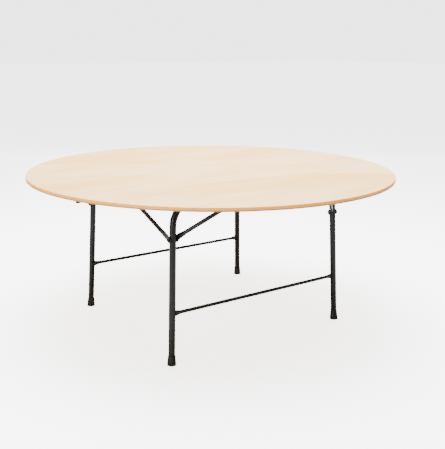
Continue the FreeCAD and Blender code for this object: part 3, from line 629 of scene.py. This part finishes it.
class TABLE_OT_joint_hardware(bpy.types.Operator):
    """Draws the stay bolts and their chamfered nuts"""

    bl_idname = "table.joint_hardware"
    bl_label = "Bolts and nuts"

    def execute(self, context):
        sizes = context.scene.table_fasteners
        for end in FRAMES:
            bolts = bmesh.new()
            nuts = bmesh.new()
            bolt_low, bolt_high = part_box(f"stay_bolts_{end}")
            nut_low, nut_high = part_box(f"stay_nuts_{end}")
            centre = (nut_low + nut_high) / 2
            for hand, nut_face in ((-1, nut_low.x), (1, nut_high.x)):
                outward = ALONG * hand
                joint = Vector((nut_face, centre.y, centre.z)) - outward * sizes.nut_height
                self.nut(nuts, sizes, joint, outward)
                self.bolt(bolts, sizes, joint, outward, end, hand)
            for word, mesh in (("bolts", bolts), ("nuts", nuts)):
                plain = f"stay_{word}_{end}"
                body = f"{end}_frame"
                new_piece(f"fine_{plain}", mesh, "blackened_zinc", "black_zinc", body, plain)
        return {"FINISHED"}

    def nut(self, mesh, sizes, base, axis):
        """A hexagon whose corners are turned off at both faces."""
        apothem = sizes.nut_flats / 2
        count = 48
        side = axis.orthogonal().normalized()
        cross = axis.cross(side)
        heights = (0.0, 0.12, 0.88, 1.0)
        limits = (apothem * 1.02, apothem * 1.16, apothem * 1.16, apothem * 1.02)
        rings = []
        for height, limit in zip(heights, limits):
            ring = []
            for number in range(count):
                turn = 2 * math.pi * number / count
                corner = (turn + math.pi / 6) % (math.pi / 3) - math.pi / 6
                radius = min(apothem / math.cos(corner), limit)
                place = side * math.cos(turn) + cross * math.sin(turn)
                ring.append(base + axis * sizes.nut_height * height + place * radius)
            rings.append(ring)
        skin(mesh, rings)

    def bolt(self, mesh, sizes, seat, axis, end, hand):
        """A domed head on one side of the leg and a threaded tail past the nut."""
        side = "left" if hand < 0 else "right"
        leg = (joint_place(f"swing_inner_{end}_{side}") + joint_place(f"swing_outer_{end}_{side}")) / 2
        head_seat = seat + axis * 2 * (leg - seat).dot(axis)
        dome = []
        for part in range(9):
            turn = math.radians(90 * part / 8)
            radius = sizes.bolt_head / 2 * math.cos(turn)
            dome.append((max(radius, 0.00005), sizes.bolt_head_height * math.sin(turn)))
        lathe(mesh, head_seat, -axis, [(sizes.bolt_head / 2 * 0.97, -0.0002)] + dome)
        radius = sizes.bolt / 2
        shank = (seat - head_seat).dot(axis)
        tail = shank + sizes.nut_height + sizes.bolt_tail
        profile = [(radius, 0.0), (radius, shank + sizes.nut_height * 0.5)]
        height = profile[-1][1]
        while height < tail - sizes.thread_pitch:
            profile.append((radius * 0.86, height + sizes.thread_pitch / 2))
            height += sizes.thread_pitch
            profile.append((radius, height))
        profile.append((radius * 0.82, tail))
        lathe(mesh, head_seat, axis, profile)


class TABLE_OT_screws(bpy.types.Operator):
    """Draws the wood screws' heads with their driver recesses"""

    bl_idname = "table.screws"
    bl_label = "Wood screws"

    def execute(self, context):
        sizes = context.scene.table_fasteners
        groups = {"saddle_screws": [], "clip_screws": [], "bumper_screws": []}
        for name in frame["nodes"]:
            spot = middle(name)
            if name.startswith("saddle_") and name != "saddle_screws":
                spot.z = UNDERSIDE - sizes.saddle_sheet
                for along in (-0.5, 0.5):
                    for across in (-0.5, 0.5):
                        step = ALONG * along * sizes.saddle_pitch_along
                        step += ACROSS * across * sizes.saddle_pitch_across
                        groups["saddle_screws"].append(spot + step)
            elif name.startswith("clip_") and name != "clip_screws":
                spot.z = UNDERSIDE - context.scene.table_clips.sheet
                groups["clip_screws"] += [spot + ACROSS * k * sizes.clip_pitch for k in (-0.5, 0.5)]
            elif name.startswith("bumper_") and name != "bumper_screws":
                spot.z = UNDERSIDE - sizes.bumper_seat
                groups["bumper_screws"].append(spot)
        for name, spots in groups.items():
            mesh = bmesh.new()
            for number, spot in enumerate(sorted(spots, key=tuple)):
                self.head(mesh, sizes, spot, number * SCREW_TO_SCREW_TURN)
            new_piece(f"recessed_{name}", mesh, "zinc_plate", "zinc", "top", name)
        return {"FINISHED"}

    def head(self, mesh, sizes, spot, turned):
        """A pan head below its seat, with a cross recess turned to its own angle."""
        radius = sizes.screw_head / 2
        profile = [(0.03, 1.0), (0.1, 1.0), (0.2, 1.0), (0.3, 0.99), (0.4, 0.97), (0.5, 0.94)]
        profile += [(0.6, 0.9), (0.7, 0.84), (0.8, 0.75), (0.9, 0.6), (0.96, 0.42)]
        profile += [(1.0, 0.2), (1.0, 0.0)]
        rings = []
        for share, height in profile:
            ring = oval(Vector(), ALONG, ACROSS, radius * share, radius * share, count=48)
            for point in ring:
                cosine, sine = math.cos(turned), math.sin(turned)
                u = abs(point.x * cosine + point.y * sine)
                v = abs(point.y * cosine - point.x * sine)
                inside = min(u, v) < sizes.recess_width / 2 and max(u, v) < sizes.recess_length / 2
                slope = 1 - max(u, v) / sizes.recess_length
                depth = sizes.recess_depth * slope if inside else 0
                point.z = depth - sizes.screw_head_height * height
                point += spot
            rings.append(ring)
        skin(mesh, rings)


class TABLE_OT_clips(bpy.types.Operator):
    """Draws the eight spring clips with folded, lipped cheeks"""

    bl_idname = "table.clips"
    bl_label = "Spring clips"

    def execute(self, context):
        sizes = context.scene.table_clips
        for end in FRAMES:
            for side in SIDES:
                for kind in ("inner", "outer"):
                    name = f"clip_{kind}_{end}_{side}"
                    root = middle(name)
                    root.z = UNDERSIDE
                    mesh = bmesh.new()
                    self.plate(mesh, sizes, root)
                    for hand in (-1, 1):
                        self.cheek(mesh, sizes, root, hand)
                    new_piece(f"sprung_{name}", mesh, "zinc_plate", "zinc", "top", name)
        return {"FINISHED"}

    def plate(self, mesh, sizes, root):
        """The base plate, with soft corners and a broken lower edge."""
        wide, deep = sizes.plate_length / 2, sizes.plate_width / 2
        break_edge = CLIP_BROKEN_EDGE
        rings = []
        for height, less in ((0, 0), (sizes.sheet - break_edge, 0), (sizes.sheet, break_edge)):
            rings.append(oval(root - UP * height, ACROSS, ALONG, wide - less, deep - less, 5.0, 64))
        skin(mesh, rings)

    def cheek(self, mesh, sizes, root, hand):
        """A cheek bent down from the plate, narrowing to a lip that opens outwards."""
        inner = sizes.gap / 2 + sizes.sheet / 2
        bend = CLIP_BEND
        rings = []
        straight = sizes.cheek_depth - sizes.lip_length
        for part in range(7):
            turn = math.radians(90 * part / 6)
            sideways = hand * (inner + bend * (1 - math.sin(turn)))
            centre = Vector((sideways, 0, bend * (math.cos(turn) - 1)))
            rings.append((centre - UP * sizes.sheet / 2, math.pi / 2 - turn, 1.0))
        for part in range(1, 7):
            down = mix(bend + sizes.sheet / 2, straight, part / 6)
            rings.append((Vector((hand * inner, 0, -down)), 0.0, 1.0 - 0.12 * part / 6))
        for part in range(1, 7):
            share = part / 6
            out = sizes.lip_flare * share**2
            down = straight + sizes.lip_length * 0.96 * share
            rings.append((Vector((hand * (inner + out), 0, -down)), 0.5 * share, 0.88 - 0.3 * share**3))
        shapes = []
        for centre, turn, width in rings:
            thick = ALONG * hand * math.cos(turn) + UP * math.sin(turn)
            half = sizes.cheek_width / 2 * width
            shapes.append(oval(root + centre, ACROSS, thick, half, sizes.sheet / 2, 5.0, 32))
        skin(mesh, shapes)


class TABLE_OT_studio(bpy.types.Operator):
    """Makes the pale floor, the soft lights and the camera"""

    bl_idname = "table.studio"
    bl_label = "Studio"

    def execute(self, context):
        studio = context.scene.table_studio
        self.camera(context, studio)
        self.floor(context, studio)
        world = bpy.data.worlds.new("white_room")
        world.use_nodes = True
        background = world.node_tree.nodes["Background"]
        background.inputs["Color"].default_value = (1.0, 1.0, 1.0, 1.0)
        seen = node(world.node_tree, "ShaderNodeLightPath").outputs["Is Camera Ray"]
        strength = remap(world.node_tree, seen, 0.0, 1.0, studio.sky, studio.floor_glow)
        world.node_tree.links.new(strength, background.inputs["Strength"])
        context.scene.world = world
        self.softbox(context, "overhead_softbox", *OVERHEAD_SOFTBOX, studio.key)
        self.softbox(context, "side_softbox", *SIDE_SOFTBOX, studio.side)
        self.softbox(context, "back_softbox", *BACK_SOFTBOX, studio.back)
        return {"FINISHED"}

    def camera(self, context, studio):
        data = bpy.data.cameras.new("camera")
        data.lens = studio.lens
        camera = bpy.data.objects.new("camera", data)
        level = Vector((math.cos(studio.yaw), math.sin(studio.yaw), 0))
        ahead = Vector((-math.sin(studio.yaw), math.cos(studio.yaw), 0))
        forward = ahead * math.cos(studio.pitch) - UP * math.sin(studio.pitch)
        upward = UP * math.cos(studio.pitch) + ahead * math.sin(studio.pitch)
        right = level * math.cos(studio.roll) + upward * math.sin(studio.roll)
        turned = camera.matrix_world.to_3x3()
        for column, axis in enumerate((right, right.cross(forward), -forward)):
            turned.col[column] = axis
        camera.matrix_world = turned.to_4x4()
        camera.location = studio.camera_place
        context.scene.collection.objects.link(camera)
        context.scene.camera = camera

    def floor(self, context, studio):
        """A wide pale sheet. Its own glow keeps the shade under the table light."""
        tree, shader = new_material("studio_floor")
        soft = noise(tree, 0.8, detail=2.0)
        shaded = remap(tree, soft, 0.3, 0.7, 0.0, 0.02)
        pale = blend(tree, shaded, tuple(studio.floor), (0.86, 0.86, 0.86))
        feed(tree, shader, Base_Color=pale)
        shader.inputs["Roughness"].default_value = 0.7
        seen = node(tree, "ShaderNodeLightPath").outputs["Is Camera Ray"]
        shader.inputs["Emission Color"].default_value = (1, 1, 1, 1)
        feed(tree, shader, Emission_Strength=calc(tree, "MULTIPLY", seen, studio.floor_glow))
        mesh = bmesh.new()
        bmesh.ops.create_grid(mesh, x_segments=8, y_segments=8, size=studio.floor_reach)
        data = bpy.data.meshes.new("studio_floor")
        mesh.to_mesh(data)
        mesh.free()
        data.materials.append(bpy.data.materials["studio_floor"])
        floor = bpy.data.objects.new("studio_floor", data)
        context.scene.collection.objects.link(floor)

    def softbox(self, context, name, place, size, power):
        data = bpy.data.lights.new(name, "AREA")
        data.shape = "RECTANGLE"
        data.size, data.size_y = size
        data.energy = power
        light = bpy.data.objects.new(name, data)
        light.location = place
        light.rotation_mode = "QUATERNION"
        target = Vector((0, 0, TOP_FACE / 2))
        light.rotation_quaternion = (target - place).to_track_quat("-Z", "Y")
        light.visible_camera = False
        context.scene.collection.objects.link(light)


OPERATORS = (
    TABLE_OT_finishes,
    TABLE_OT_stays,
    TABLE_OT_crossbars,
    TABLE_OT_joint_hardware,
    TABLE_OT_screws,
    TABLE_OT_clips,
    TABLE_OT_studio,
)
GROUPS = {
    "table_steel": TableSteelSizes,
    "table_fasteners": TableFastenerSizes,
    "table_clips": TableClipSizes,
    "table_colours": TableColours,
    "table_studio": TableStudio,
}


class TABLE_PT_panel(bpy.types.Panel):
    """Lists the table's pieces and their sizes"""

    bl_idname = "TABLE_PT_panel"
    bl_label = "Folding table"
    bl_space_type = "VIEW_3D"
    bl_region_type = "UI"
    bl_category = "Folding table"

    def draw(self, context):
        for operator in OPERATORS:
            self.layout.operator(operator.bl_idname)
        for name, group in GROUPS.items():
            box = self.layout.box()
            for prop in group.__annotations__:
                box.prop(getattr(context.scene, name), prop)


def register():
    for cls in (*GROUPS.values(), *OPERATORS, TABLE_PT_panel):
        bpy.utils.register_class(cls)
    for name, group in GROUPS.items():
        setattr(bpy.types.Scene, name, PointerProperty(type=group))


def unregister():
    for name in GROUPS:
        delattr(bpy.types.Scene, name)
    for cls in (TABLE_PT_panel, *reversed(OPERATORS), *GROUPS.values()):
        bpy.utils.unregister_class(cls)


def main():
    register()
    bpy.ops.table.finishes()
    bpy.ops.table.stays()
    bpy.ops.table.crossbars()
    bpy.ops.table.joint_hardware()
    bpy.ops.table.screws()
    bpy.ops.table.clips()
    bpy.ops.table.studio()


if __name__ == "__main__":
    main()
